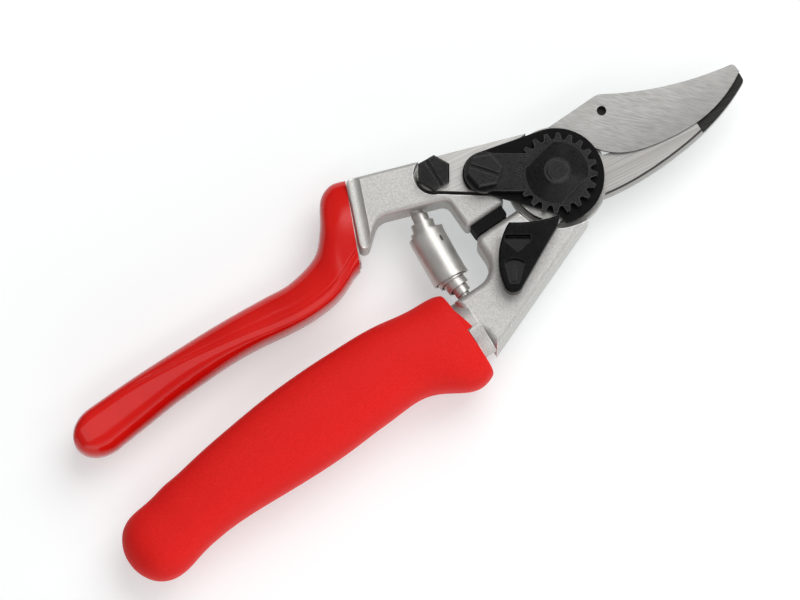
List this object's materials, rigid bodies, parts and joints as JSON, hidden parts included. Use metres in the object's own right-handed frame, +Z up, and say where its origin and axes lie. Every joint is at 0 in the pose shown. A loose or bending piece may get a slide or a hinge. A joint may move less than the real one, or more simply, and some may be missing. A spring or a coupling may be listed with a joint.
{
  "type": "pruning shears",
  "caption": "Bypass pruning shears with a curved cutting blade and hooked anvil, a coated upper handle, a rotating lower grip, a thumb catch and a volute spring, shown closed.",
  "frame": {"origin": "on the pivot axis, at the underside of the pivot bolt's head, where the shears lie on a table", "axes": "+X from the pivot towards the blade tip, +Y towards the upper handle, +Z up along the pivot, out through the adjusting nut"},
  "size_m": [0.2014, 0.0654, 0.0234],
  "materials": {
    "forged_aluminium": "fine-blasted forging with bright worn rims",
    "blade_steel": "ground and brushed",
    "anvil_steel": "ground, satin",
    "black_steel": "black oxide, satin",
    "catch_black": "black, semi-gloss",
    "bolt_steel": "machined",
    "bush_bronze": "sintered bronze",
    "spring_nickel": "bright nickel",
    "grip_red_gloss": "dipped vinyl coating, glossy",
    "grip_red_matte": "moulded grip, matte",
    "liner_plastic": "plain bearing tube",
    "bumper_rubber": "moulded rubber"
  },
  "bodies": {
    "lower_arm": {"lower_arm": "forged_aluminium", "cutting_blade": "blade_steel", "blade_rivets": "bolt_steel", "pivot_bush": "bush_bronze", "catch_washer": "bolt_steel", "catch_screw": "black_steel", "grip_spindle": "bolt_steel", "thrust_washer": "bolt_steel", "retaining_washer": "bolt_steel", "retaining_screw": "bolt_steel", "volute_spring": "spring_nickel"},
    "upper_arm": {"upper_handle": "forged_aluminium", "upper_grip_coating": "grip_red_gloss", "anvil_blade": "anvil_steel", "anvil_screw": "black_steel", "lock_plate": "black_steel", "toothed_segment": "black_steel", "segment_screw": "black_steel", "adjusting_nut": "black_steel", "pivot_bolt": "black_steel", "bumper_pad": "bumper_rubber"},
    "catch": {"thumb_catch": "catch_black"},
    "rotating_grip": {"grip_sleeve": "grip_red_matte", "grip_liner": "liner_plastic"}
  },
  "joints": [
    {"name": "main_pivot", "type": "hinge", "parent": "lower_arm", "child": "upper_arm", "pos_m": [0, 0, 0.0143], "axis": [0, 0, -1], "range_deg": [0, 30], "deforming": ["volute_spring"]},
    {"name": "catch_pivot", "type": "hinge", "parent": "lower_arm", "child": "catch", "pos_m": [-0.0174, -0.0074, 0.018], "axis": [0, 0, -1], "range_deg": [0, 28]},
    {"name": "grip_turn", "type": "hinge", "parent": "lower_arm", "child": "rotating_grip", "pos_m": [-0.083, -0.0198, 0.0093], "axis": [-1, 0, 0], "range_deg": [0, 60]}
  ]
}
